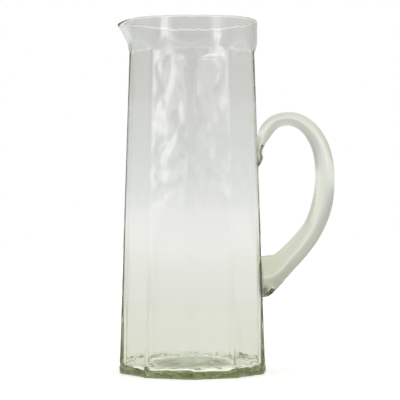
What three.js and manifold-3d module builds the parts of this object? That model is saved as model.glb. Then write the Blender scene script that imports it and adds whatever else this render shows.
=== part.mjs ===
// A mouth-blown glass carafe in two pieces of glass: a ten-sided vessel that runs up into a round collar
// with a pulled spout, and a handle drawn from a second gather and pressed onto one of the sides.
// Millimetres, +Z up. The origin is the middle of the foot, the handle points along +X, the spout along -X.

import * as THREE from 'three';
import { mergeVertices } from 'three/addons/utils/BufferGeometryUtils.js';
import Module from 'manifold-3d';

const wasm = await Module();
wasm.setup();

// Vessel
const sideCount = 10;
const overallHeight = 258.5;
const footAcrossFlats = 106.7;
const neckAcrossFlats = 91.2;
const collarDiameter = 96;
const collarHeight = 23; // from the top of the flat sides to the rim
const collarBlend = 10; // height over which the flat sides melt into the round collar
const footWall = 3.6;
const neckWall = 2.2;
const collarWall = 2.6;
const floorThickness = 5.5;
const moundHeight = 3.8; // how far the floor rises inside, to its middle
const moundRadius = 33;
const rimThickness = 2.8;
const edgeRadius = 5; // upright edges between the sides, outside
const insideEdgeRadius = 9; // the same edges inside, where the glass ran softer
const footRadius = 1.5; // edge round the underside
const floorRadius = 3; // inside, between wall and floor

// Spout
const spoutReach = 7.9; // how far the lip is pulled out past the collar
const spoutDrop = 3; // how far its tip hangs below the rim
const spoutWidth = 46; // measured along the rim
const spoutStart = 0.3; // share of the collar's height below which nothing is pulled

// Handle: the rod's edge towards the vessel and its edge away from it, each as a reach out from the side that
// carries the handle and a height up from the foot, and the rod's width across the plane of the bow
const seatClearance = 0.3;
const root = { inner: { reach: -1, height: 85.5 }, outer: { reach: -1, height: 54.5 }, wide: 28 };
const pad = { inner: { reach: 5, height: 86 }, outer: { reach: 4.5, height: 55.5 }, wide: 26.5 };
const flare = { inner: { reach: 8.5, height: 86.5 }, outer: { reach: 10, height: 60 }, wide: 24.5 };
const heel = { inner: { reach: 15, height: 91 }, outer: { reach: 22.5, height: 73.5 }, wide: 20 };
const shin = { inner: { reach: 24.5, height: 100 }, outer: { reach: 35, height: 87 }, wide: 18 };
const elbow = { inner: { reach: 33, height: 110.5 }, outer: { reach: 45, height: 101.5 }, wide: 17 };
const rise = { inner: { reach: 38.5, height: 124 }, outer: { reach: 53, height: 119 }, wide: 16.5 };
const bow = { inner: { reach: 41.5, height: 138.5 }, outer: { reach: 56, height: 137 }, wide: 16 };
const back = { inner: { reach: 42, height: 153 }, outer: { reach: 55.5, height: 156.5 }, wide: 15 };
const shoulder = { inner: { reach: 39.5, height: 166 }, outer: { reach: 51, height: 172 }, wide: 14 };
const bend = { inner: { reach: 33, height: 177 }, outer: { reach: 42, height: 184.5 }, wide: 13.5 };
const arch = { inner: { reach: 25, height: 181.5 }, outer: { reach: 28.5, height: 191.5 }, wide: 13 };
const fall = { inner: { reach: 16, height: 180 }, outer: { reach: 12.5, height: 189.5 }, wide: 12.5 };
const crook = { inner: { reach: 10, height: 173.5 }, outer: { reach: 3, height: 181 }, wide: 13.5 };
const seat = { inner: { reach: 5, height: 166 }, outer: { reach: -0.5, height: 170 }, wide: 14.5 };
const tongue = { inner: { reach: 3.8, height: 160.5 }, outer: { reach: -1, height: 161.5 }, wide: 14 };
const taper = { inner: { reach: 3, height: 154.5 }, outer: { reach: -1, height: 154.7 }, wide: 9 };
const tip = { inner: { reach: 1.4, height: 151 }, outer: { reach: -1, height: 151 }, wide: 3 };

// Fineness of the curved surfaces
const segmentsPerSide = 6;
const arcSteps = 4;
const blendSteps = 4;
const moundSteps = 6;
const lipSteps = 6;
const handleSides = 20;
const stepsPerStation = 4;
const weldDistance = 1e-4;

const neckHeight = overallHeight - collarHeight;
const blendTop = neckHeight + collarBlend;
const collarRadius = collarDiameter / 2;
const { lerp, smoothstep, clamp } = THREE.MathUtils;

// Distance from the axis to a flat side, and the wall's thickness, at a height
const sideDistance = (z) => lerp(footAcrossFlats / 2, neckAcrossFlats / 2, z / neckHeight);
const wallAt = (z) => lerp(footWall, neckWall, z / neckHeight);
const insideDistance = (z) => sideDistance(z) - wallAt(z);

// Distance from the axis to a ten-sided ring with rounded corners, at an angle round the axis.
// A corner radius as large as the ring itself makes the ring a circle.
function ringRadius(distance, cornerRadius, angle) {
  const halfSide = Math.PI / sideCount;
  const fromMiddle = Math.abs(THREE.MathUtils.euclideanModulo(angle + halfSide, 2 * halfSide) - halfSide);
  const corner = Math.min(cornerRadius, distance);
  if (distance * Math.tan(fromMiddle) <= (distance - corner) * Math.tan(halfSide)) {
    return distance / Math.cos(fromMiddle);
  }
  const fromCorner = halfSide - fromMiddle;
  const cornerCentre = (distance - corner) / Math.cos(halfSide);
  const across = cornerCentre * Math.sin(fromCorner);
  return cornerCentre * Math.cos(fromCorner) + Math.sqrt(corner * corner - across * across);
}

// A quarter turn from one angle, as points of a wall section: distance from the axis, height, corner radius
function quarterArc(centreDistance, centreHeight, radius, startAngle, corner) {
  return Array.from({ length: arcSteps + 1 }, (_, i) => {
    const angle = startAngle + (i / arcSteps) * (Math.PI / 2);
    const distance = centreDistance + radius * Math.cos(angle);
    return { distance, z: centreHeight + radius * Math.sin(angle), corner };
  });
}

// The stretch where a flat-sided ring becomes round, upwards from the neck
function collarStretch(sideAtNeck, roundRadius, corner) {
  return Array.from({ length: blendSteps + 1 }, (_, i) => {
    const z = lerp(neckHeight, blendTop, i / blendSteps);
    const toTop = 1 - i / blendSteps;
    const share = 1 - toTop * toTop; // starts in a crease, ends smooth
    const distance = lerp(sideAtNeck, roundRadius, share);
    return { distance, z, corner: lerp(corner, distance, share) };
  });
}

// The inside of the floor, from the edge of its mound to the axis
function moundSection() {
  return Array.from({ length: moundSteps + 1 }, (_, i) => {
    const share = 1 - i / moundSteps;
    const rise = 1 - share * share;
    const distance = share * moundRadius;
    return { distance, z: floorThickness + moundHeight * rise * rise, corner: distance };
  });
}

// Outside of the vessel, from the foot up to where the lip starts; grow moves it outwards
function outsideSection(grow) {
  const top = overallHeight - rimThickness / 2;
  const footDistance = sideDistance(footRadius) - footRadius + grow;
  return [
    ...quarterArc(footDistance, footRadius, footRadius, -Math.PI / 2, edgeRadius),
    { distance: sideDistance(neckHeight / 2) + grow, z: neckHeight / 2, corner: edgeRadius },
    ...collarStretch(sideDistance(neckHeight) + grow, collarRadius + grow, edgeRadius),
    { distance: collarRadius + grow, z: top, corner: collarRadius + grow },
  ];
}

// Inside of the vessel, from the rim down to the edge of its floor
function insideSection() {
  const roundRadius = collarRadius - collarWall;
  const lipFoot = overallHeight - 2 * rimThickness;
  const floorEdge = floorThickness + floorRadius;
  const bendDistance = insideDistance(floorEdge) - floorRadius;
  const rising = [
    ...quarterArc(bendDistance, floorEdge, floorRadius, -Math.PI / 2, insideEdgeRadius),
    { distance: insideDistance(neckHeight / 2), z: neckHeight / 2, corner: insideEdgeRadius },
    ...collarStretch(insideDistance(neckHeight), roundRadius, insideEdgeRadius),
    { distance: roundRadius, z: lipFoot, corner: roundRadius },
  ];
  return rising.reverse();
}

// The fire-polished lip, a half round over the top of the wall
function lipSection() {
  const radius = rimThickness / 2;
  return Array.from({ length: lipSteps }, (_, i) => {
    const angle = ((i + 1) / lipSteps) * Math.PI;
    const distance = collarRadius - radius + radius * Math.cos(angle);
    return { distance, z: overallHeight - radius + radius * Math.sin(angle), corner: distance };
  });
}

// How strongly the spout pulls at an angle round the axis, from 0 beside it to 1 at its tip
function spoutPull(angle) {
  const halfWidth = spoutWidth / 2 / collarRadius;
  const fromTip = Math.PI - Math.abs(angle);
  const share = clamp(1 - fromTip / halfWidth, 0, 1);
  return smoothstep(share, 0, 1);
}

// Turns a section round the axis, then gives each ring its ten sides and the collar its spout
function turnedBody(section) {
  const points = section.map(({ distance, z }) => new THREE.Vector2(distance, z));
  const geometry = new THREE.LatheGeometry(points, sideCount * segmentsPerSide);
  geometry.rotateX(Math.PI / 2);
  const position = geometry.getAttribute('position');
  for (let i = 0; i < position.count; i += 1) {
    const { distance, z, corner } = section[i % section.length];
    const angle = Math.atan2(position.getY(i), position.getX(i));
    const share = (z - neckHeight) / collarHeight;
    const lift = clamp((share - spoutStart) / (1 - spoutStart), 0, 1);
    const pull = distance > 0 ? spoutPull(angle) * lift : 0;
    const radius = distance > 0 ? ringRadius(distance, corner, angle) + spoutReach * pull : 0;
    position.setXYZ(i, radius * Math.cos(angle), radius * Math.sin(angle), z - spoutDrop * pull);
  }
  return geometry;
}

// A bent rod between its two edges, with an oval section from one edge to the other
function bentRod(stations) {
  const steps = (stations.length - 1) * stepsPerStation;
  const edgeCurve = (edge) => new THREE.CatmullRomCurve3(
    stations.map((station) => {
      const { reach, height } = station[edge];
      return new THREE.Vector3(sideDistance(height) + reach, 0, height);
    }),
  );
  const innerEdge = edgeCurve('inner');
  const outerEdge = edgeCurve('outer');
  const widths = new THREE.CatmullRomCurve3(stations.map(({ wide }, i) => new THREE.Vector3(wide / 2, i, 0)));
  const geometry = new THREE.CylinderGeometry(1, 1, 1, handleSides, steps);
  const position = geometry.getAttribute('position');
  for (let i = 0; i < position.count; i += 1) {
    const along = clamp(position.getY(i) + 0.5, 0, 1);
    const near = innerEdge.getPoint(along);
    const far = outerEdge.getPoint(along);
    const place = near.lerp(far, (1 + position.getX(i)) / 2);
    position.setXYZ(i, place.x, -position.getZ(i) * widths.getPoint(along).x, place.z);
  }
  return geometry;
}

// A closed geometry as a solid, without the empty triangles that a turned section has on its axis
function solidOf(geometry) {
  geometry.deleteAttribute('normal');
  geometry.deleteAttribute('uv');
  const merged = mergeVertices(geometry, weldDistance);
  const corners = merged.getIndex().array;
  const triVerts = [];
  for (let i = 0; i < corners.length; i += 3) {
    const [a, b, c] = corners.slice(i, i + 3);
    if (a !== b && b !== c && c !== a) triVerts.push(a, b, c);
  }
  const vertProperties = new Float32Array(merged.getAttribute('position').array);
  const mesh = new wasm.Mesh({ numProp: 3, vertProperties, triVerts: new Uint32Array(triVerts) });
  return new wasm.Manifold(mesh);
}

function geometryOf(solid) {
  const { vertProperties, triVerts } = solid.getMesh();
  const geometry = new THREE.BufferGeometry();
  geometry.setAttribute('position', new THREE.BufferAttribute(vertProperties, 3));
  geometry.setIndex(new THREE.BufferAttribute(triVerts, 1));
  geometry.computeVertexNormals();
  return geometry;
}

function glass(color) {
  const clear = { transparent: true, opacity: 0.4 };
  return new THREE.MeshStandardMaterial({ color, roughness: 0.05, metalness: 0, ...clear });
}

function vessel() {
  const section = [
    { distance: 0, z: 0, corner: 0 },
    ...outsideSection(0),
    ...lipSection(),
    ...insideSection(),
    ...moundSection(),
  ];
  const mesh = new THREE.Mesh(geometryOf(solidOf(turnedBody(section))), glass('#d8dcd1'));
  mesh.name = 'blown_vessel';
  return mesh;
}

// The handle stops at the side that it is pressed onto, a clearance away from the vessel's outside
function handle() {
  const lower = [root, pad, flare, heel, shin, elbow, rise, bow];
  const upper = [back, shoulder, bend, arch, fall, crook, seat, tongue, taper, tip];
  const rod = solidOf(bentRod([...lower, ...upper]));
  const outside = [
    { distance: 0, z: -seatClearance, corner: 0 },
    ...outsideSection(seatClearance),
    { distance: 0, z: overallHeight, corner: 0 },
  ];
  const mesh = new THREE.Mesh(geometryOf(rod.subtract(solidOf(turnedBody(outside)))), glass('#d2d8c8'));
  mesh.name = 'applied_handle';
  return mesh;
}

const carafe = new THREE.Group();
carafe.name = 'carafe';
carafe.add(vessel(), handle());

export default carafe;
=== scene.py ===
import math
import bmesh
import bpy
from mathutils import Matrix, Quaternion, Vector, noise


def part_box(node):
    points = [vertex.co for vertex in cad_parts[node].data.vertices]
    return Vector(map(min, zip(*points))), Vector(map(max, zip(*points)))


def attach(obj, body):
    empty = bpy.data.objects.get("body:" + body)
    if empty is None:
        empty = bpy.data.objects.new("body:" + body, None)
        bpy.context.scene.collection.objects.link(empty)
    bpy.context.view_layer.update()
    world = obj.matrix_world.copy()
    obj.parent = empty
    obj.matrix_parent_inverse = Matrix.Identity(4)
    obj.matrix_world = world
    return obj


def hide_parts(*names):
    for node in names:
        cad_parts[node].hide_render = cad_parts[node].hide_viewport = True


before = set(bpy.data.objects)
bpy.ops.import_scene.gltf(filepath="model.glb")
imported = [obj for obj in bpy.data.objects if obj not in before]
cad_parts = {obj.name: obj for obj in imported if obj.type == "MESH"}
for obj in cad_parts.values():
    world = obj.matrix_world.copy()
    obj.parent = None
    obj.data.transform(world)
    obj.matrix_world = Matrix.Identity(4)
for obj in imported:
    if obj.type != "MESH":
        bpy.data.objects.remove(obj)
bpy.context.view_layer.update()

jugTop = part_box("blown_vessel")[1].z
weldDistance = 1e-7
lightBounces = 48  # light runs a long way inside a thick glass foot
scene = bpy.context.scene
scene.view_settings.view_transform = "Standard"
for kind in ("max_bounces", "glossy_bounces", "transmission_bounces"):
    setattr(scene.cycles, kind, lightBounces)
print("frame loaded:", sorted(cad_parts))


def lerp(start, end, share):
    return start + (end - start) * share


def clamp(value, low=0.0, high=1.0):
    return max(low, min(high, value))


def smoothstep(value, low, high):
    share = clamp((value - low) / (high - low))
    return share * share * (3 - 2 * share)


def stationAt(stations, height):
    # eased interpolation in a list of (height, value) pairs
    for (lowZ, lowValue), (highZ, highValue) in zip(stations, stations[1:]):
        if height <= highZ:
            return lerp(lowValue, highValue, smoothstep(height, lowZ, highZ))
    return stations[-1][1]


def keepPiece(name, bm, material):
    bmesh.ops.remove_doubles(bm, verts=bm.verts[:], dist=weldDistance)
    bmesh.ops.recalc_face_normals(bm, faces=bm.faces[:])
    mesh = bpy.data.meshes.new(name)
    bm.to_mesh(mesh)
    bm.free()
    for polygon in mesh.polygons:
        polygon.use_smooth = True
    mesh.materials.append(material)
    piece = bpy.data.objects.new(name, mesh)
    scene.collection.objects.link(piece)
    return piece


# Camera

shot = {
    "azimuth": 2.0,  # degrees round from -Y towards +X
    "distance": 1.15,
    "height": 0.1272,
    "target": (0.0054, 0.0002, 0.1269),
    "viewWidth": 0.2962,  # what the picture takes in at the target
    "sensor": 36.0,
    "clip": (0.1, 50),
    "roll": 0.13,  # degrees
}


def makeCamera():
    turn = math.radians(shot["azimuth"])
    away = shot["distance"]
    eye = Vector((math.sin(turn) * away, -math.cos(turn) * away, shot["height"]))
    look = Vector(shot["target"]) - eye
    data = bpy.data.cameras.new("productCamera")
    data.sensor_width = shot["sensor"]
    data.lens = shot["sensor"] * look.length / shot["viewWidth"]
    data.clip_start, data.clip_end = shot["clip"]
    camera = bpy.data.objects.new("productCamera", data)
    camera.location = eye
    upright = look.to_track_quat("-Z", "Y")
    tilt = Quaternion((0, 0, 1), math.radians(-shot["roll"]))
    camera.rotation_euler = (upright @ tilt).to_euler()
    scene.collection.objects.link(camera)
    scene.camera = camera
    print("camera: lens %.1f mm at %.3f m" % (data.lens, look.length))


makeCamera()


# Material nodes

def nodeMaker(tree):
    tree.nodes.clear()

    def make(kind, **inputs):
        node = tree.nodes.new(kind)
        for key, value in inputs.items():
            node.inputs[key.replace("_", " ")].default_value = value
        return node

    return make


def wire(tree, source, node, socket):
    tree.links.new(source, node.inputs[socket])


def combine(tree, operation, *sources, kind="ShaderNodeMath", clamped=False):
    # a source is a number or a vector, or else the output of another node
    node = tree.nodes.new(kind)
    node.operation = operation
    if clamped:
        node.use_clamp = True
    for socket, source in zip(node.inputs, sources):
        if isinstance(source, bpy.types.NodeSocket):
            tree.links.new(source, socket)
        else:
            socket.default_value = source
    return node.outputs["Value"] if operation == "LENGTH" else node.outputs[0]


def colourRamp(tree, source, points):
    ramp = tree.nodes.new("ShaderNodeValToRGB")
    stops = ramp.color_ramp.elements
    while len(stops) < len(points):
        stops.new(0.5)
    for stop, (place, colour) in zip(stops, points):
        stop.position = place
        stop.color = (*colour, 1)
    wire(tree, source, ramp, "Fac")
    return ramp.outputs["Color"]


def levelRamp(tree, source, points):
    return colourRamp(tree, source, [(place, (level, level, level)) for place, level in points])


def stretched(points, lowest, highest):
    # the points of a ramp, with their places counted from 0 to 1
    return [((place - lowest) / (highest - lowest), value) for place, value in points]


# Floor, surroundings and lamps

studio = {
    "floorRadius": 3.0,
    "floorSegments": 96,
    "floorDrop": 0.0002,
    # the floor's own glow where the camera sees it, by distance; the light on it tops it up
    "floorWhite": [(0.12, 0.59), (0.50, 1.00)],
    "floorAlbedo": 0.8,
    # colour of the floor as the glass shows it, by distance from the jug in metres; it is painted light and
    # shade: painted shadow under the middle of the jug and just outside its foot, a painted bright ring of
    # light under the foot's edge, and painted shade that lifts with distance
    "floorLightAndShadeThrough": [
        (0.000, (0.66, 0.69, 0.56)),
        (0.028, (0.66, 0.69, 0.56)),
        (0.036, (0.95, 0.95, 0.88)),
        (0.045, (1.15, 1.15, 1.08)),
        (0.054, (1.10, 1.10, 1.02)),
        (0.060, (0.70, 0.71, 0.59)),
        (0.075, (0.76, 0.77, 0.67)),
        (0.100, (0.83, 0.83, 0.765)),
        (0.180, (0.815, 0.81, 0.755)),
        (0.700, (0.825, 0.825, 0.78)),
        (1.700, (0.91, 0.91, 0.89)),
        (3.000, (0.905, 0.91, 0.905)),
    ],
    # colour of the room as the glass shows it, by the rise of the line of sight
    "roomThrough": [
        (-0.035, (0.89, 0.895, 0.895)),
        (-0.010, (0.84, 0.845, 0.845)),
        (0.006, (0.77, 0.78, 0.78)),
        (0.030, (0.71, 0.72, 0.715)),
        (0.060, (0.685, 0.69, 0.68)),
        (0.110, (0.63, 0.635, 0.63)),
        (0.180, (0.64, 0.645, 0.61)),
        (0.500, (0.68, 0.685, 0.63)),
        (1.000, (0.80, 0.80, 0.77)),
    ],
    "sweeps": 4,  # lit stretches round the room
    # how much darker it is between the sweeps: on the floor by distance, as painted shade, in the room by
    # rise
    "floorCorners": [(0.0, 0.0), (0.25, 0.0), (0.45, 0.18), (0.90, 0.18), (1.8, 0.05), (3.0, 0.05)],
    "roomCorners": [(-0.035, 0.0), (0.010, 0.0), (0.050, 0.20), (1.000, 0.30)],
    "cameraShade": 0.5,  # how much darker the room is on the camera's side
    "cameraShadeSpan": (-0.7, 0.1),  # from there to full light, along Y
    # strip lamps, with the glow across their width from the side towards the camera to the far side
    "strips": [
        {"name": "leftStrip", "turn": -47.5, "distance": 1.75, "width": 0.86, "height": 1.9, "glow": 3.0,
         "across": [(0.0, 0.0), (0.13, 0.0), (0.15, 0.32), (0.255, 0.35), (0.265, 1.0),
                    (0.70, 1.0), (0.76, 0.4), (0.95, 0.3), (1.0, 0.0)]},
        {"name": "rightStrip", "turn": 48.0, "distance": 1.75, "width": 1.14, "height": 1.9, "glow": 1.7,
         "across": [(0.0, 0.0), (0.02, 0.30), (0.33, 0.36), (0.345, 1.0),
                    (0.73, 1.0), (0.79, 0.4), (0.95, 0.3), (1.0, 0.0)]},
    ],
    "stripFoot": 0.08,
    # glow up the height of a strip
    "stripUp": [(0.0, 0.0), (0.02, 0.10), (0.05, 0.34), (0.10, 0.68), (0.155, 0.9), (0.2, 1.0), (1.0, 1.0)],
}


def keptShare(tree, make, place, corners):
    # 1 in the middle of a sweep, and less by the level of the corners half-way between two sweeps
    split = make("ShaderNodeSeparateXYZ")
    wire(tree, place, split, "Vector")
    angle = combine(tree, "ARCTAN2", split.outputs["Y"], split.outputs["X"])
    lobe = combine(tree, "COSINE", combine(tree, "MULTIPLY", angle, studio["sweeps"]))
    between = make("ShaderNodeMapRange", From_Min=1, From_Max=-1)
    wire(tree, lobe, between, "Value")
    loss = combine(tree, "MULTIPLY", between.outputs["Result"], corners)
    return combine(tree, "SUBTRACT", 1, loss)


def makeFloor():
    reach = studio["floorRadius"]
    bm = bmesh.new()
    bmesh.ops.create_circle(bm, cap_ends=True, segments=studio["floorSegments"], radius=reach)
    bmesh.ops.translate(bm, verts=bm.verts[:], vec=(0, 0, -studio["floorDrop"]))
    material = bpy.data.materials.new("paleFloor")
    material.use_nodes = True
    tree = material.node_tree
    make = nodeMaker(tree)
    output = make("ShaderNodeOutputMaterial")
    path = make("ShaderNodeLightPath")
    place = make("ShaderNodeTexCoord").outputs["Object"]
    length = combine(tree, "LENGTH", place, kind="ShaderNodeVectorMath")
    share = combine(tree, "DIVIDE", length, reach)
    # what the glass shows: the floor's glow, with painted light and shade
    colour = colourRamp(tree, share, stretched(studio["floorLightAndShadeThrough"], 0, reach))
    corners = levelRamp(tree, share, stretched(studio["floorCorners"], 0, reach))
    through = make("ShaderNodeEmission")
    wire(tree, colour, through, "Color")
    wire(tree, keptShare(tree, make, place, corners), through, "Strength")
    # what the camera sees
    (nearby, nearGlow), (farOff, farGlow) = studio["floorWhite"]
    glow = make("ShaderNodeMapRange", From_Min=nearby, From_Max=farOff, To_Min=nearGlow, To_Max=farGlow)
    wire(tree, length, glow, "Value")
    white = make("ShaderNodeEmission")
    wire(tree, glow.outputs["Result"], white, "Strength")
    albedo = studio["floorAlbedo"]
    matte = make("ShaderNodeBsdfDiffuse", Color=(albedo, albedo, albedo, 1))
    seen = make("ShaderNodeAddShader")
    wire(tree, white.outputs["Emission"], seen, 0)
    wire(tree, matte.outputs["BSDF"], seen, 1)
    either = combine(tree, "MAXIMUM", path.outputs["Is Glossy Ray"], path.outputs["Is Transmission Ray"])
    pick = make("ShaderNodeMixShader")
    wire(tree, either, pick, "Fac")
    wire(tree, seen.outputs["Shader"], pick, 1)
    wire(tree, through.outputs["Emission"], pick, 2)
    wire(tree, pick.outputs["Shader"], output, "Surface")
    keepPiece("floor", bm, material)


def makeSurroundings():
    world = bpy.data.worlds.new("studioRoom")
    world.use_nodes = True
    scene.world = world
    tree = world.node_tree
    make = nodeMaker(tree)
    output = make("ShaderNodeOutputWorld")
    path = make("ShaderNodeLightPath")
    place = make("ShaderNodeTexCoord").outputs["Generated"]
    split = make("ShaderNodeSeparateXYZ")
    wire(tree, place, split, "Vector")
    lowest = studio["roomThrough"][0][0]
    highest = studio["roomThrough"][-1][0]
    rise = make("ShaderNodeMapRange", From_Min=lowest, From_Max=highest)
    wire(tree, split.outputs["Z"], rise, "Value")
    colour = colourRamp(tree, rise.outputs["Result"], stretched(studio["roomThrough"], lowest, highest))
    corners = levelRamp(tree, rise.outputs["Result"], stretched(studio["roomCorners"], lowest, highest))
    kept = keptShare(tree, make, place, corners)
    shadeStart, shadeEnd = studio["cameraShadeSpan"]
    shade = make("ShaderNodeMapRange", From_Min=shadeStart, From_Max=shadeEnd, To_Max=1)
    shade.inputs["To Min"].default_value = 1 - studio["cameraShade"]
    shade.interpolation_type = "SMOOTHSTEP"
    wire(tree, split.outputs["Y"], shade, "Value")
    room = make("ShaderNodeBackground")
    wire(tree, colour, room, "Color")
    wire(tree, combine(tree, "MULTIPLY", kept, shade.outputs["Result"]), room, "Strength")
    white = make("ShaderNodeBackground", Color=(1, 1, 1, 1), Strength=1.0)
    pick = make("ShaderNodeMixShader")
    wire(tree, path.outputs["Is Camera Ray"], pick, "Fac")
    wire(tree, room.outputs["Background"], pick, 1)
    wire(tree, white.outputs["Background"], pick, 2)
    wire(tree, pick.outputs["Shader"], output, "Surface")


def makeStrips():
    for strip in studio["strips"]:
        turn = math.radians(strip["turn"])
        away = strip["distance"]
        data = bpy.data.lights.new(strip["name"], "AREA")
        data.shape = "RECTANGLE"
        data.size = strip["width"]
        data.size_y = strip["height"]
        data.energy = strip["glow"] * math.pi * strip["width"] * strip["height"]
        lamp = bpy.data.objects.new(strip["name"], data)
        middle = studio["stripFoot"] + strip["height"] / 2
        lamp.location = (math.sin(turn) * away, -math.cos(turn) * away, middle)
        lamp.rotation_euler = (math.pi / 2, 0, turn)
        lamp.visible_camera = False
        scene.collection.objects.link(lamp)
        across = strip["across"]
        if turn > 0:
            across = [(1 - place, level) for place, level in reversed(across)]
        softenStrip(data, across)


def softenStrip(data, acrossPoints):
    data.use_nodes = True
    tree = data.node_tree
    place = tree.nodes.new("ShaderNodeNewGeometry").outputs["Parametric"]
    split = tree.nodes.new("ShaderNodeSeparateXYZ")
    wire(tree, place, split, "Vector")
    across = levelRamp(tree, split.outputs["X"], acrossPoints)
    upwards = levelRamp(tree, split.outputs["Y"], studio["stripUp"])
    level = combine(tree, "MULTIPLY", across, upwards)
    wire(tree, level, tree.nodes["Emission"], "Strength")


makeFloor()
makeSurroundings()
makeStrips()
print("studio: floor and", len(studio["strips"]), "strip lamps")


# Glass

glassLook = {
    "vesselColour": (0.608, 0.668, 0.42, 1),
    "handleColour": (0.600, 0.660, 0.38, 1),
    "absorbDensity": 25.0,
    "index": 1.5,
    "noiseDetail": 2.0,
    "cordScale": (240.0, 240.0, 150.0),  # fine unevenness of the surface, per metre
    "cordDepth": 0.000006,
    "scarTintAndShade": (0.52, 0.58, 0.42),  # greener glass in a ring round the pushed-up middle of the floor: partly the glass's own colour, partly painted shade for the shaded floor seen through it
    "scarInside": (0.010, 0.019),
    "scarRadius": (0.027, 0.034),
    "scarTop": (0.009, 0.011),
    "footTints": [(0.36, (0.30, 0.34, 0.18)), (0.50, (0.66, 0.70, 0.50)), (0.62, (1.00, 1.00, 0.94))],
    "footScale": (75.0, 75.0, 420.0),  # streaks of darker glass in the edge of the foot, per metre
    "footTop": (0.0040, 0.0056),
    "footPale": (0.0008, 0.0026),  # the streaks are weaker at the very bottom, by the next share
    "footPaleShare": 0.6,
    "footRadius": (0.0505, 0.0520),
    "mixSockets": (6, 7, 2),  # the two colours and the result of a Mix node that is set to colour
}


def fadeOut(tree, make, source, span, share=1):
    # the share below the span, 0 above it
    low, high = span
    fade = make("ShaderNodeMapRange", From_Min=low, From_Max=high, To_Min=share, To_Max=0)
    fade.interpolation_type = "SMOOTHSTEP"
    wire(tree, source, fade, "Value")
    return fade.outputs["Result"]


def stretchedNoise(tree, make, place, scale):
    texture = make("ShaderNodeTexNoise", Scale=1.0, Detail=glassLook["noiseDetail"])
    wire(tree, combine(tree, "MULTIPLY", place, scale, kind="ShaderNodeVectorMath"), texture, "Vector")
    return texture.outputs["Fac"]


def makeGlass(name, absorbed):
    material = bpy.data.materials.new(name)
    material.use_nodes = True
    tree = material.node_tree
    make = nodeMaker(tree)
    output = make("ShaderNodeOutputMaterial")
    body = make("ShaderNodeBsdfPrincipled", Roughness=0.0, IOR=glassLook["index"], Transmission_Weight=1.0)
    tint = make("ShaderNodeVolumeAbsorption", Color=absorbed, Density=glassLook["absorbDensity"])
    place = make("ShaderNodeTexCoord").outputs["Object"]
    bump = make("ShaderNodeBump", Strength=1.0, Distance=glassLook["cordDepth"])
    wire(tree, stretchedNoise(tree, make, place, glassLook["cordScale"]), bump, "Height")
    wire(tree, bump.outputs["Normal"], body, "Normal")
    level = combine(tree, "MULTIPLY", place, (1, 1, 0), kind="ShaderNodeVectorMath")
    distance = combine(tree, "LENGTH", level, kind="ShaderNodeVectorMath")
    split = make("ShaderNodeSeparateXYZ")
    wire(tree, place, split, "Vector")
    height = split.outputs["Z"]
    # the ring in the floor: greener glass colour that is partly painted shade
    disc = fadeOut(tree, make, distance, glassLook["scarRadius"])
    hole = fadeOut(tree, make, distance, glassLook["scarInside"])
    ring = combine(tree, "SUBTRACT", disc, hole, clamped=True)
    scar = combine(tree, "MULTIPLY", ring, fadeOut(tree, make, height, glassLook["scarTop"]))
    scarColourAndShade = colourRamp(tree, scar, [(0.0, (1, 1, 1)), (1.0, glassLook["scarTintAndShade"])])
    # the streaks round the edge of the foot
    streaks = stretchedNoise(tree, make, place, glassLook["footScale"])
    footColour = colourRamp(tree, streaks, glassLook["footTints"])
    footHeight = fadeOut(tree, make, height, glassLook["footTop"])
    footMiddle = fadeOut(tree, make, distance, glassLook["footRadius"])
    footPale = fadeOut(tree, make, height, glassLook["footPale"], glassLook["footPaleShare"])
    footOuter = combine(tree, "SUBTRACT", footHeight, footMiddle)
    footShare = combine(tree, "SUBTRACT", footOuter, footPale, clamped=True)
    both = make("ShaderNodeMix")
    both.data_type = "RGBA"
    both.blend_type = "MULTIPLY"
    firstColour, secondColour, result = glassLook["mixSockets"]
    wire(tree, footShare, both, "Factor")
    wire(tree, scarColourAndShade, both, firstColour)
    wire(tree, footColour, both, secondColour)
    wire(tree, both.outputs[result], body, "Base Color")
    wire(tree, body.outputs["BSDF"], output, "Surface")
    wire(tree, tint.outputs["Volume"], output, "Volume")
    return material


# Vessel

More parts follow.
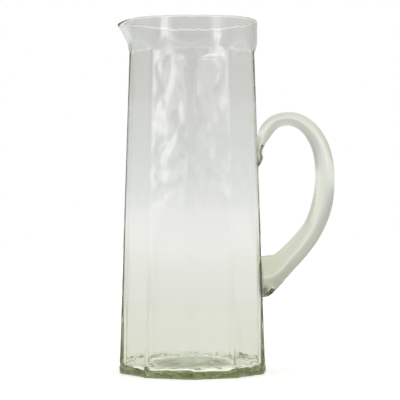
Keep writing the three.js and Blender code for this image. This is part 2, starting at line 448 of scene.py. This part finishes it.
vessel = {
    "sides": 10,
    "footFlats": 0.1067,
    "neckFlats": 0.0912,
    "collarRadius": 0.0480,
    "collarHeight": 0.0230,
    "collarBlend": 0.010,
    # thickness of the wall by height
    "walls": [(0.0, 0.0060), (0.02, 0.0050), (0.06, 0.0032),
              (0.12, 0.0022), (0.20, 0.0020), (0.236, 0.0024)],
    "collarWall": 0.0026,
    "wallHeights": [0.02, 0.03, 0.05, 0.07, 0.095, 0.12, 0.16, 0.20],  # where the section has a point
    "blendSteps": 12,
    "rim": 0.0028,
    "rimRounding": 0.98,  # share of half the rim's thickness
    "beadHeight": 0.0036,  # the lip is thicker than the wall down to here
    "beadCorner": 0.8,  # and keeps that down to this many rims below the top
    "beadRadius": 0.0006,
    "rimWave": (0.0042, 0.0015),  # length and height of the waves along the lip
    "rimFade": (0.009, 0.0035),  # they grow between these depths below the top
    "rimSag": 0.0009,  # how far the lip is lower at the front and the back
    # share of the waves at the front, and where they grow towards the back, by the sine of the angle
    "frontCalm": (0.2, 0.2, 0.6),
    "floor": 0.0055,
    "floorSteps": 24,  # most rings on one edge of the section near the middle
    "floorStepReach": 1.4,  # how far that counts, in kick radii
    "insideStart": 0.9,  # no point below this share of the floor's thickness counts as inside
    "kick": 0.0038,  # how far the middle of the floor is pushed up
    "kickRadius": 0.033,
    "edges": [(0.0, 0.0035), (0.06, 0.0040), (0.15, 0.0050), (0.236, 0.0060)],  # corner radius by height
    # the same inside, where the glass ran softer
    "insideEdges": [(0.0, 0.012), (0.06, 0.012), (0.14, 0.006), (0.236, 0.0042)],
    "footRadius": 0.0014,
    "floorRadius": 0.0025,
    "spoutReach": 0.0079,
    "spoutDrop": 0.0030,
    "spoutWidth": 0.046,
    "spoutStart": 0.301,  # share of the collar's height below which nothing is pulled
    "spoutGrowth": 0.7,  # share of it over which the pull grows
    "spoutCurve": 1.1,
    "spoutThinning": 0.0013,  # how much thinner the lip is at the spout's tip
    "arcSteps": {"foot": 6, "rim": 6, "bead": 4, "floor": 8},  # fineness of the section's rounded corners
    "turns": 260,
    "seamWeld": 1e-6,
    "edgeCrowding": 0.30,
    # distance between the rings up to a height
    "ringGaps": [(0.026, 0.0012), (0.075, 0.0040), (0.2535, 0.0021), (0.3, 0.0006)],
    # dents that the mould left: width, height and depth of a dent
    "dents": [(0.0100, 0.0140, 0.00028), (0.0050, 0.0062, 0.00009), (0.0027, 0.0033, 0.00003)],
    "dentSteps": 2.2,
    "dentWarp": (0.012, 0.0040),
    "warpShifts": [(5.3, 0.0, 0.0), (36.7, 0.0, 0.0), (5.3, 47.3, 0.0)],
    "dentFade": (0.105, 0.145),
    "collarDentLoss": 0.88,
    "collarDentStart": 0.001,  # below the top of the flat sides
    # share of the dents on each side, counted round from the handle
    "dentShares": [0.05, 0.4, 0.4, 0.4, 0.1, 0.05, 0.2, 0.95, 0.75, 0.15],
    "dentShareSpan": (0.4, 0.6),  # where one side's share goes over into the next
    "pillow": 0.00019,  # how far the middle of a side stands out
    "pillowFade": (0.01, 0.06),
    "footTop": 0.03,  # the foot's lumps, waves and ripples end below here
    "lumps": (0.0085, 0.0030, 0.00140),  # width, height and depth of the lumps of the foot
    "lumpShift": 3,
    "lumpReach": (0.040, 0.050),
    "lumpFade": (0.004, 0.013),
    "insideLumps": 0.1,  # their share on the inside
    "underLumps": (0.6, 0.8),  # their share on the underside, and the scale of their pattern there
    "floorWave": (0.016, 0.0003),
    "floorWaveReach": (0.03, 0.046),
    "floorWaveFade": 0.005,
    "ripples": (0.0028, 0.00004),  # length and depth of the chill ripples above the foot
    "rippleGrowth": (0.006, 0.012),
    "rippleFade": (0.018, 0.030),
    "rippleDrift": (0.012, 5),  # how they wander round the jug: length and strength
    "rippleShift": 0.3,
}
neckHeight = jugTop - vessel["collarHeight"]
blendTop = neckHeight + vessel["collarBlend"]
tiny = 1e-5


def sideDistance(z):
    return lerp(vessel["footFlats"] / 2, vessel["neckFlats"] / 2, z / neckHeight)


def ringRadius(distance, corner, angle):
    # ten flats with rounded corners; a corner as large as the ring makes it round
    halfSide = math.pi / vessel["sides"]
    fromMiddle = abs((angle + halfSide) % (2 * halfSide) - halfSide)
    corner = min(corner, distance)
    if distance * math.tan(fromMiddle) <= (distance - corner) * math.tan(halfSide):
        return distance / math.cos(fromMiddle)
    fromCorner = halfSide - fromMiddle
    centre = (distance - corner) / math.cos(halfSide)
    across = centre * math.sin(fromCorner)
    return centre * math.cos(fromCorner) + math.sqrt(corner * corner - across * across)


def spoutPull(angle, z):
    halfWidth = vessel["spoutWidth"] / 2 / vessel["collarRadius"]
    share = clamp(1 - (math.pi - abs(angle)) / halfWidth)
    height = (z - neckHeight) / vessel["collarHeight"]
    rise = clamp((height - vessel["spoutStart"]) / vessel["spoutGrowth"])
    return share * share * (3 - 2 * share) * rise ** vessel["spoutCurve"]


def wallAt(z):
    return stationAt(vessel["walls"], z) if z < neckHeight else vessel["collarWall"]


def roundness(z):
    # from 0 at the top of the flat sides, in a crease, to 1 where the collar is round
    share = 1 - clamp((z - neckHeight) / vessel["collarBlend"])
    return 1 - share * share


def outsideAt(z):
    return lerp(sideDistance(min(z, neckHeight)), vessel["collarRadius"], roundness(z))


def ringGapAt(z):
    for top, gap in vessel["ringGaps"]:
        if z < top:
            return gap


def makeVessel(material):
    bm = bmesh.new()
    rim = vessel["rim"]
    collar = vessel["collarRadius"]
    floor = vessel["floor"]
    beadFoot = jugTop - vessel["beadHeight"]
    steps = vessel["blendSteps"]
    blend = [lerp(neckHeight, blendTop, step / steps) for step in range(steps + 1)]
    heights = vessel["wallHeights"] + blend
    # the section: underside, outside, lip, inside, floor
    section = [(0, 0), (outsideAt(0), 0)]
    section += [(outsideAt(z), z) for z in heights]
    lip = len(section)
    section += [(collar, jugTop), (collar - rim, jugTop)]
    section += [(collar - rim, jugTop - rim * vessel["beadCorner"])]
    section += [(collar - vessel["collarWall"], beadFoot)]
    section += [(outsideAt(z) - wallAt(z), z) for z in reversed(heights)]
    section += [(outsideAt(floor) - wallAt(floor), floor), (0, floor)]
    verts = [bm.verts.new((distance, 0, z)) for distance, z in section]
    for first, second in zip(verts, verts[1:]):
        bm.edges.new((first, second))
    rimRadius = rim / 2 * vessel["rimRounding"]
    rounds = [(verts[1], vessel["footRadius"], "foot")]
    rounds += [(vert, rimRadius, "rim") for vert in verts[lip:lip + 2]]
    rounds += [(vert, vessel["beadRadius"], "bead") for vert in verts[lip + 2:lip + 4]]
    rounds += [(verts[-2], vessel["floorRadius"], "floor")]
    for vert, radius, part in rounds:
        bmesh.ops.bevel(bm, geom=[vert], offset=radius, offset_type="OFFSET", affect="VERTICES",
                        segments=vessel["arcSteps"][part], profile=0.5, material=-1)
    floorReach = vessel["kickRadius"] * vessel["floorStepReach"]
    for edge in bm.edges[:]:
        cuts = int(edge.calc_length() / ringGapAt(min(vert.co.z for vert in edge.verts)))
        if max(vert.co.x for vert in edge.verts) < floorReach:
            cuts = min(cuts, vessel["floorSteps"])
        if cuts:
            bmesh.ops.subdivide_edges(bm, edges=[edge], cuts=cuts)
    print("vessel section:", len(bm.verts), "points")
    bmesh.ops.spin(bm, geom=bm.verts[:] + bm.edges[:], cent=(0, 0, 0), axis=(0, 0, 1),
                   angle=2 * math.pi, steps=vessel["turns"], use_merge=True)
    bmesh.ops.remove_doubles(bm, verts=bm.verts[:], dist=vessel["seamWeld"])
    for vert in bm.verts:
        shapeVesselPoint(vert)
    return keepPiece("vesselGlass", bm, material)


def dentAt(angle, z):
    collarLoss = smoothstep(z, neckHeight - vessel["collarDentStart"], blendTop)
    fade = smoothstep(z, *vessel["dentFade"]) * (1 - vessel["collarDentLoss"] * collarLoss)
    if fade <= 0:
        return 0
    place = (angle / (2 * math.pi) * vessel["sides"]) % vessel["sides"]
    side = int(place)
    shares = vessel["dentShares"]
    change = smoothstep(place - side, *vessel["dentShareSpan"])
    share = lerp(shares[side], shares[(side + 1) % len(shares)], change)
    reach = outsideAt(z)
    spot = Vector((math.cos(angle) * reach, math.sin(angle) * reach, z))
    length, drift = vessel["dentWarp"]
    spot += Vector([noise.noise(spot / length + Vector(shift)) for shift in vessel["warpShifts"]]) * drift
    depth = 0
    for wide, tall, deep in vessel["dents"]:
        wave = noise.noise(Vector((spot.x / wide, spot.y / wide, spot.z / tall)))
        depth += deep * math.tanh(vessel["dentSteps"] * wave)  # flat stretches with short slopes between
    return depth * fade * share


def footChange(angle, distance, radius, z, inside):
    # lumps, waves and ripples of the foot: how much the radius and the height change
    wide, tall, deep = vessel["lumps"]
    around = Vector((math.cos(angle), math.sin(angle), 0))
    spot = around * (radius / wide) + Vector((0, 0, z / tall + vessel["lumpShift"]))
    lump = noise.noise(spot) * smoothstep(distance, *vessel["lumpReach"])
    lump *= 1 - smoothstep(z, *vessel["lumpFade"])
    if inside:
        length, high = vessel["floorWave"]
        floor = vessel["floor"]
        wave = noise.noise(around * vessel["footFlats"] / 2 / length)
        near = smoothstep(distance, *vessel["floorWaveReach"])
        near *= 1 - smoothstep(z, floor, floor + vessel["floorWaveFade"])
        return deep * vessel["insideLumps"] * lump, high * wave * near
    if z < tiny:
        share, scale = vessel["underLumps"]
        outwards = smoothstep(distance, vessel["kickRadius"], vessel["lumpReach"][0])
        return 0, deep * share * abs(noise.noise(spot * scale)) * outwards
    length, depth = vessel["ripples"]
    window = smoothstep(z, *vessel["rippleGrowth"]) * (1 - smoothstep(z, *vessel["rippleFade"]))
    driftLength, driftStrength = vessel["rippleDrift"]
    wander = (around + Vector((0, 0, vessel["rippleShift"]))) * radius / driftLength
    phase = driftStrength * noise.noise(wander)
    ripple = depth * window * math.sin(2 * math.pi * z / length + phase)
    return deep * lump + ripple, 0


def lipChange(angle, z):
    length, high = vessel["rimWave"]
    spot = Vector((math.cos(angle), math.sin(angle), 0)) * vessel["collarRadius"]
    below, above = vessel["rimFade"]
    near = smoothstep(z, jugTop - below, jugTop - above)
    rise = vessel["rimSag"] * (1 - math.sin(angle) ** 4)
    calm, growthStart, growthEnd = vessel["frontCalm"]
    high *= lerp(calm, 1, smoothstep(math.sin(angle), growthStart, growthEnd))
    return near * (high * noise.noise(spot / length) + rise)


def shapeVesselPoint(vert):
    x, y, z = vert.co
    distance = math.hypot(x, y)
    kickRadius = vessel["kickRadius"]
    if distance < tiny:
        vert.co.z += vessel["kick"]
        return
    angle = math.atan2(y, x)
    sides = vessel["sides"]
    angle += vessel["edgeCrowding"] / sides * math.sin(sides * angle)  # more points near the upright edges
    inside = distance < outsideAt(z) - wallAt(z) / 2 and z > vessel["floor"] * vessel["insideStart"]
    corner = stationAt(vessel["insideEdges" if inside else "edges"], z)
    corner = lerp(corner, distance, roundness(z))
    radius = ringRadius(distance, corner, angle)
    pillowStart, pillowEnd = vessel["pillowFade"]
    if z > pillowStart:
        toEdge = abs((angle * sides / math.pi + 1) % 2 - 1)  # 0 in the middle of a side, 1 at its edges
        bulge = vessel["pillow"] * (1 - toEdge ** 4)
        radius += bulge * smoothstep(z, pillowStart, pillowEnd) * (1 - roundness(z))
        radius += dentAt(angle, z)
    if z < vessel["footTop"] and distance > kickRadius:
        outwards, upwards = footChange(angle, distance, radius, z, inside)
        radius += outwards
        z += upwards
    if distance < kickRadius:
        z += vessel["kick"] * (1 - (distance / kickRadius) ** 2) ** 2
    pull = spoutPull(angle, z)
    radius += vessel["spoutReach"] * pull
    if inside:
        radius += vessel["spoutThinning"] * pull
    z += lipChange(angle, z) - vessel["spoutDrop"] * pull * pull
    vert.co = (radius * math.cos(angle), radius * math.sin(angle), z)


vesselGlass = makeVessel(makeGlass("vesselGlassFinish", glassLook["vesselColour"]))
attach(vesselGlass, "root")
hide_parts("blown_vessel")
print("vessel:", len(vesselGlass.data.polygons), "faces")


# Handle

handle = {
    "sides": 48,
    "rings": 200,
    # inner edge of the rod (reach out from the side, height), its outer edge, and its width across
    "stations": [
        (-0.0010, 0.0855, -0.0010, 0.0545, 0.0280),  # root, in the wall
        (0.0050, 0.0860, 0.0045, 0.0555, 0.0265),  # pad
        (0.0085, 0.0865, 0.0100, 0.0600, 0.0245),  # flare
        (0.0150, 0.0910, 0.0225, 0.0735, 0.0200),  # heel
        (0.0245, 0.1000, 0.0350, 0.0870, 0.0180),  # shin
        (0.0330, 0.1105, 0.0450, 0.1015, 0.0170),  # elbow
        (0.0385, 0.1240, 0.0530, 0.1190, 0.0165),  # rise
        (0.0415, 0.1385, 0.0560, 0.1370, 0.0160),  # bow
        (0.0420, 0.1530, 0.0555, 0.1565, 0.0150),  # back
        (0.0395, 0.1660, 0.0510, 0.1720, 0.0140),  # shoulder
        (0.0330, 0.1770, 0.0420, 0.1845, 0.0135),  # bend
        (0.0250, 0.1815, 0.0285, 0.1915, 0.0130),  # arch
        (0.0160, 0.1800, 0.0125, 0.1895, 0.0125),  # fall
        (0.0100, 0.1735, 0.0030, 0.1810, 0.0135),  # crook
        (0.0050, 0.1660, -0.0005, 0.1700, 0.0145),  # seat
        (0.0037, 0.1620, -0.0010, 0.1635, 0.0145),  # tongue
        (0.0039, 0.1583, -0.0010, 0.1587, 0.0130),  # lobe
        (0.0026, 0.1543, -0.0010, 0.1545, 0.0090),  # taper
        (0.0004, 0.1513, -0.0005, 0.1514, 0.0016),  # tip
    ],
    "widthStep": 0.001,  # between the stations on the curve of the widths
    "flatness": 0.7,  # the rod is flatter towards the vessel, from pressing: 1 is round
    "flatSide": 0.5,  # from the middle of the rod, it is fully flat at this share of its half
    "flatEnd": (0.55, 0.70),  # and it gets round along this stretch of the handle
    "cords": (1.3, 16, 0.00012),  # how the drawn glass waves: round the rod, along it, and how deep
    "seatLumps": (0.0032, 0.00035),
    "seatSpan": (0.80, 0.86),
    "thinRod": 0.003,  # where the rod is thinner than this to its middle, its waves are weaker
    # a fold that stayed open under the root: its middle, radius and depth, and its flat share
    "pocket": ((0.0570, -0.0105, 0.0590), 0.0058, 0.0030, 0.3),
}


def curveAt(points, along):
    # a smooth curve through the points, with knots spaced by the roots of their distances
    count = len(points)
    place = clamp(along) * (count - 1)
    index = min(int(place), count - 2)
    share = place - index
    second, third = points[index], points[index + 1]
    first = points[index - 1] if index > 0 else second * 2 - third
    fourth = points[index + 2] if index + 2 < count else third * 2 - second
    gapA = math.sqrt((second - first).length)
    gapB = math.sqrt((third - second).length)
    gapC = math.sqrt((fourth - third).length)
    leave = ((second - first) / gapA - (third - first) / (gapA + gapB) + (third - second) / gapB) * gapB
    arrive = ((third - second) / gapB - (fourth - second) / (gapB + gapC) + (fourth - third) / gapC) * gapB
    square = share * share
    cube = square * share
    return (second * (2 * cube - 3 * square + 1) + third * (3 * square - 2 * cube)
            + leave * (cube - 2 * square + share) + arrive * (cube - square))


def makeHandle(material):
    bm = bmesh.new()
    bmesh.ops.create_cone(bm, cap_ends=True, segments=handle["sides"], radius1=1, radius2=1, depth=1)
    longEdges = [edge for edge in bm.edges if abs(edge.verts[0].co.z - edge.verts[1].co.z) > 0.5]
    bmesh.ops.subdivide_edges(bm, edges=longEdges, cuts=handle["rings"], use_grid_fill=True)
    inner, outer, halfWidths = [], [], []
    for innerReach, innerZ, outerReach, outerZ, wide in handle["stations"]:
        inner.append(Vector((sideDistance(innerZ) + innerReach, 0, innerZ)))
        outer.append(Vector((sideDistance(outerZ) + outerReach, 0, outerZ)))
        halfWidths.append(Vector((wide / 2, 0, len(halfWidths) * handle["widthStep"])))
    around, lengthwise, deep = handle["cords"]
    seat, seatDeep = handle["seatLumps"]
    spot, reach, depth, flat = handle["pocket"]
    for vert in bm.verts:
        along = clamp(vert.co.z + 0.5)
        near = curveAt(inner, along)
        far = curveAt(outer, along)
        grow = deep * noise.noise(Vector((vert.co.x * around, vert.co.y * around, along * lengthwise)))
        centre = (near + far) / 2
        half = (far - near) / 2
        pressed = smoothstep(-vert.co.x, 0, handle["flatSide"])
        pressed *= 1 - smoothstep(along, *handle["flatEnd"])
        power = lerp(1, handle["flatness"], pressed)
        across = math.copysign(abs(vert.co.x) ** power, vert.co.x)
        sideways = math.copysign(abs(vert.co.y) ** power, vert.co.y)
        place = centre + half * across + Vector((0, curveAt(halfWidths, along).x * sideways, 0))
        grow += seatDeep * noise.noise(place / seat) * smoothstep(along, *handle["seatSpan"])
        grow -= depth * (1 - smoothstep((place - Vector(spot)).length, flat * reach, reach))
        out = (place - centre).normalized()
        vert.co = place + out * grow * min(1, (place - centre).length / handle["thinRod"])
    return keepPiece("handleGlass", bm, material)


handleGlass = makeHandle(makeGlass("handleGlassFinish", glassLook["handleColour"]))
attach(handleGlass, "root")
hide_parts("applied_handle")
print("handle:", len(handleGlass.data.polygons), "faces")
